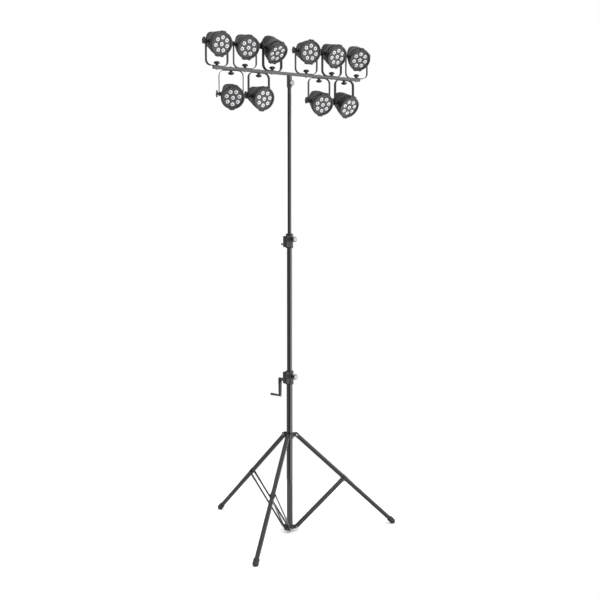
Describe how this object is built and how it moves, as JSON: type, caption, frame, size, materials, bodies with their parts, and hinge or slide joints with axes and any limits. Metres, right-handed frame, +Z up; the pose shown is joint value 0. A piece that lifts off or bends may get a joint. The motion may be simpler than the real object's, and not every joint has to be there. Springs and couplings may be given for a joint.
{
  "type": "crank lighting stand",
  "caption": "Tall black crank-up tripod stand with a telescoping rack-driven mast, a crossbar and spotlights on turning yokes above and below the bar.",
  "frame": {"origin": "on the mast's axis at floor level, midway between the feet", "axes": "+Z up along the mast, +Y towards the first leg and along the crank's shaft, -X towards the gearboxes"},
  "size_m": [1.4276, 1.242, 3.5842],
  "materials": {
    "tube_black": "gloss black powder coat",
    "bar_black": "satin black powder coat",
    "brace_black": "satin black paint",
    "rack_steel": "blackened steel",
    "cast_black": "fine texture black powder coat",
    "zinc_steel": "zinc plated",
    "crank_black": "gloss black powder coat",
    "knob_plastic": "fine grain",
    "bush_plastic": "smooth nylon",
    "foot_rubber": "matt",
    "yoke_black": "satin black powder coat",
    "head_black": "satin black powder coat on die-cast aluminium"
  },
  "bodies": {
    "mast": {"lower_tube": "tube_black", "base_spider": "cast_black", "base_bolts": "zinc_steel", "lower_collar": "cast_black", "lower_bush": "bush_plastic", "lower_gear_cover": "cast_black"},
    "crank": {"lower_shaft": "zinc_steel", "crank_arm": "crank_black", "crank_grip_axle": "zinc_steel"},
    "grip": {"crank_grip": "knob_plastic"},
    "lower_knob": {"lower_clamp_knob": "knob_plastic"},
    "riser_1": {"middle_tube": "tube_black", "middle_rack": "rack_steel", "middle_foot_bush": "bush_plastic", "upper_collar": "cast_black", "upper_bush": "bush_plastic", "upper_gear_cover": "cast_black"},
    "upper_winch": {"upper_shaft": "zinc_steel"},
    "upper_knob": {"upper_clamp_knob": "knob_plastic"},
    "riser_2": {"upper_tube": "tube_black", "upper_rack": "rack_steel", "upper_foot_bush": "bush_plastic"},
    "tbar": {"tbar_beam": "bar_black", "tbar_socket": "bar_black", "tbar_end_caps": "knob_plastic", "lamp_mount_knobs": "knob_plastic"},
    "tbar_knob": {"tbar_clamp_knob": "knob_plastic"},
    "hub": {"leg_hub": "cast_black", "hub_bolts": "zinc_steel"},
    "hub_knob": {"hub_lock_knob": "knob_plastic"},
    "brace_1": {"brace_1": "brace_black"},
    "leg_1": {"leg_1": "tube_black", "foot_1": "foot_rubber"},
    "brace_2": {"brace_2": "brace_black"},
    "leg_2": {"leg_2": "tube_black", "foot_2": "foot_rubber"},
    "brace_3": {"brace_3": "brace_black"},
    "leg_3": {"leg_3": "tube_black", "foot_3": "foot_rubber"},
    "yoke_1": {"lamp_1_yoke": "yoke_black"},
    "head_1": {"lamp_1_head": "head_black"},
    "yoke_2": {"lamp_2_yoke": "yoke_black"},
    "head_2": {"lamp_2_head": "head_black"},
    "yoke_3": {"lamp_3_yoke": "yoke_black"},
    "head_3": {"lamp_3_head": "head_black"},
    "yoke_4": {"lamp_4_yoke": "yoke_black"},
    "head_4": {"lamp_4_head": "head_black"},
    "yoke_5": {"lamp_5_yoke": "yoke_black"},
    "head_5": {"lamp_5_head": "head_black"},
    "yoke_6": {"lamp_6_yoke": "yoke_black"},
    "head_6": {"lamp_6_head": "head_black"},
    "yoke_7": {"lamp_7_yoke": "yoke_black"},
    "head_7": {"lamp_7_head": "head_black"},
    "yoke_8": {"lamp_8_yoke": "yoke_black"},
    "head_8": {"lamp_8_head": "head_black"},
    "yoke_9": {"lamp_9_yoke": "yoke_black"},
    "head_9": {"lamp_9_head": "head_black"},
    "yoke_10": {"lamp_10_yoke": "yoke_black"},
    "head_10": {"lamp_10_head": "head_black"}
  },
  "joints": [
    {"name": "riser_1_lift", "type": "slide", "parent": "mast", "child": "riser_1", "axis": [0, 0, 1], "range_m": [-0.86, 0]},
    {"name": "crank_turn", "type": "hinge", "parent": "mast", "child": "crank", "pos_m": [-0.02842, 0, 1.125], "axis": [0, 1, 0], "range_deg": [0, 4385]},
    {"name": "grip_spin", "type": "hinge", "parent": "crank", "child": "grip", "pos_m": [-0.02842, 0.12, 1.003], "axis": [0, 1, 0], "continuous": true},
    {"name": "lower_knob_turn", "type": "hinge", "parent": "mast", "child": "lower_knob", "pos_m": [0, -0.05, 1.15], "axis": [0, -1, 0], "range_deg": [0, 720]},
    {"name": "riser_2_lift", "type": "slide", "parent": "riser_1", "child": "riser_2", "axis": [0, 0, 1], "range_m": [-0.93, 0]},
    {"name": "upper_winch_turn", "type": "hinge", "parent": "riser_1", "child": "upper_winch", "pos_m": [-0.02326, 0, 2.112], "axis": [0, 1, 0], "range_deg": [0, 4745]},
    {"name": "upper_knob_turn", "type": "hinge", "parent": "riser_1", "child": "upper_knob", "pos_m": [0, -0.045, 2.147], "axis": [0, -1, 0], "range_deg": [0, 720]},
    {"name": "tbar_swivel", "type": "hinge", "parent": "riser_2", "child": "tbar", "pos_m": [0, 0, 3.325], "axis": [0, 0, 1], "continuous": true},
    {"name": "tbar_knob_turn", "type": "hinge", "parent": "tbar", "child": "tbar_knob", "pos_m": [-0.00734, -0.02909, 3.258], "axis": [-0.2446, -0.9696, 0], "range_deg": [0, 720]},
    {"name": "tripod_fold", "type": "hinge", "parent": "mast", "child": "brace_1", "pos_m": [0, 0.049, 0.03], "axis": [1, 0, 0], "range_deg": [0, 43]},
    {"name": "leg_1_fold", "type": "hinge", "parent": "brace_1", "child": "leg_1", "pos_m": [0, 0.41754, 0.374], "axis": [1, 0, 0], "range_deg": [-86, 0]},
    {"name": "hub_level", "type": "hinge", "parent": "leg_1", "child": "hub", "pos_m": [0, 0.049, 0.718], "axis": [1, 0, 0], "range_deg": [0, 43]},
    {"name": "brace_2_fold", "type": "hinge", "parent": "mast", "child": "brace_2", "pos_m": [-0.04244, -0.0245, 0.03], "axis": [-0.5, 0.866, 0], "range_deg": [0, 43]},
    {"name": "leg_2_fold", "type": "hinge", "parent": "brace_2", "child": "leg_2", "pos_m": [-0.3616, -0.20877, 0.374], "axis": [-0.5, 0.866, 0], "range_deg": [-86, 0]},
    {"name": "brace_3_fold", "type": "hinge", "parent": "mast", "child": "brace_3", "pos_m": [0.04244, -0.0245, 0.03], "axis": [-0.5, -0.866, 0], "range_deg": [0, 43]},
    {"name": "leg_3_fold", "type": "hinge", "parent": "brace_3", "child": "leg_3", "pos_m": [0.3616, -0.20877, 0.374], "axis": [-0.5, -0.866, 0], "range_deg": [-86, 0]},
    {"name": "hub_knob_turn", "type": "hinge", "parent": "hub", "child": "hub_knob", "pos_m": [0.0433, 0.025, 0.707], "axis": [0.866, 0.5, 0], "range_deg": [0, 720]},
    {"name": "lamp_1_pan", "type": "hinge", "parent": "tbar", "child": "yoke_1", "pos_m": [-0.55365, 0.13968, 3.325], "axis": [0, 0, 1], "range_deg": [-21.2, 12.8]},
    {"name": "lamp_1_tilt", "type": "hinge", "parent": "yoke_1", "child": "head_1", "pos_m": [-0.55365, 0.13968, 3.499], "axis": [0.9849, -0.173, 0], "range_deg": [-51.5, 38.5]},
    {"name": "lamp_2_pan", "type": "hinge", "parent": "tbar", "child": "yoke_2", "pos_m": [-0.34421, 0.08684, 3.325], "axis": [0, 0, 1], "range_deg": [-11.6, 22.4]},
    {"name": "lamp_2_tilt", "type": "hinge", "parent": "yoke_2", "child": "head_2", "pos_m": [-0.34421, 0.08684, 3.499], "axis": [0.9423, -0.3348, 0], "range_deg": [-56, 34]},
    {"name": "lamp_3_pan", "type": "hinge", "parent": "tbar", "child": "yoke_3", "pos_m": [-0.13478, 0.034, 3.325], "axis": [0, 0, 1], "range_deg": [-29.7, 4.3]},
    {"name": "lamp_3_tilt", "type": "hinge", "parent": "yoke_3", "child": "head_3", "pos_m": [-0.13478, 0.034, 3.499], "axis": [0.9997, -0.0255, 0], "range_deg": [-71.2, 18.8]},
    {"name": "lamp_4_pan", "type": "hinge", "parent": "tbar", "child": "yoke_4", "pos_m": [0.13478, -0.034, 3.325], "axis": [0, 0, 1], "range_deg": [-11.5, 22.5]},
    {"name": "lamp_4_tilt", "type": "hinge", "parent": "yoke_4", "child": "head_4", "pos_m": [0.13478, -0.034, 3.499], "axis": [0.9417, -0.3364, 0], "range_deg": [-45.4, 44.6]},
    {"name": "lamp_5_pan", "type": "hinge", "parent": "tbar", "child": "yoke_5", "pos_m": [0.34421, -0.08684, 3.325], "axis": [0, 0, 1], "range_deg": [-21.6, 12.4]},
    {"name": "lamp_5_tilt", "type": "hinge", "parent": "yoke_5", "child": "head_5", "pos_m": [0.34421, -0.08684, 3.499], "axis": [0.9861, -0.1661, 0], "range_deg": [-56, 34]},
    {"name": "lamp_6_pan", "type": "hinge", "parent": "tbar", "child": "yoke_6", "pos_m": [0.55365, -0.13968, 3.325], "axis": [0, 0, 1], "range_deg": [-6.5, 27.5]},
    {"name": "lamp_6_tilt", "type": "hinge", "parent": "yoke_6", "child": "head_6", "pos_m": [0.55365, -0.13968, 3.499], "axis": [0.9088, -0.4172, 0], "range_deg": [-61, 29]},
    {"name": "lamp_7_pan", "type": "hinge", "parent": "tbar", "child": "yoke_7", "pos_m": [-0.44893, 0.11326, 3.325], "axis": [0, 0, 1], "range_deg": [-1.3, 32.7]},
    {"name": "lamp_7_tilt", "type": "hinge", "parent": "yoke_7", "child": "head_7", "pos_m": [-0.44893, 0.11326, 3.151], "axis": [0.8672, -0.4979, 0], "range_deg": [-56.7, 33.3]},
    {"name": "lamp_8_pan", "type": "hinge", "parent": "tbar", "child": "yoke_8", "pos_m": [-0.2395, 0.06042, 3.325], "axis": [0, 0, 1], "range_deg": [-21.7, 12.3]},
    {"name": "lamp_8_tilt", "type": "hinge", "parent": "yoke_8", "child": "head_8", "pos_m": [-0.2395, 0.06042, 3.151], "axis": [0.9864, -0.1644, 0], "range_deg": [-50.9, 39.1]},
    {"name": "lamp_9_pan", "type": "hinge", "parent": "tbar", "child": "yoke_9", "pos_m": [0.2395, -0.06042, 3.325], "axis": [0, 0, 1], "range_deg": [-11.2, 22.8]},
    {"name": "lamp_9_tilt", "type": "hinge", "parent": "yoke_9", "child": "head_9", "pos_m": [0.2395, -0.06042, 3.151], "axis": [0.9399, -0.3414, 0], "range_deg": [-59.3, 30.7]},
    {"name": "lamp_10_pan", "type": "hinge", "parent": "tbar", "child": "yoke_10", "pos_m": [0.44893, -0.11326, 3.325], "axis": [0, 0, 1], "range_deg": [-23.3, 10.7]},
    {"name": "lamp_10_tilt", "type": "hinge", "parent": "yoke_10", "child": "head_10", "pos_m": [0.44893, -0.11326, 3.151], "axis": [0.9906, -0.1368, 0], "range_deg": [-63.5, 26.5]}
  ],
  "couplings": [
    {"joint": "crank_turn", "follows": "riser_1_lift", "rad_per_m": -88.889},
    {"joint": "upper_winch_turn", "follows": "riser_2_lift", "rad_per_m": -88.889},
    {"joint": "leg_1_fold", "follows": "tripod_fold", "ratio": -2},
    {"joint": "hub_level", "follows": "tripod_fold", "ratio": 1},
    {"joint": "brace_2_fold", "follows": "tripod_fold", "ratio": 1},
    {"joint": "leg_2_fold", "follows": "tripod_fold", "ratio": -2},
    {"joint": "brace_3_fold", "follows": "tripod_fold", "ratio": 1},
    {"joint": "leg_3_fold", "follows": "tripod_fold", "ratio": -2}
  ]
}
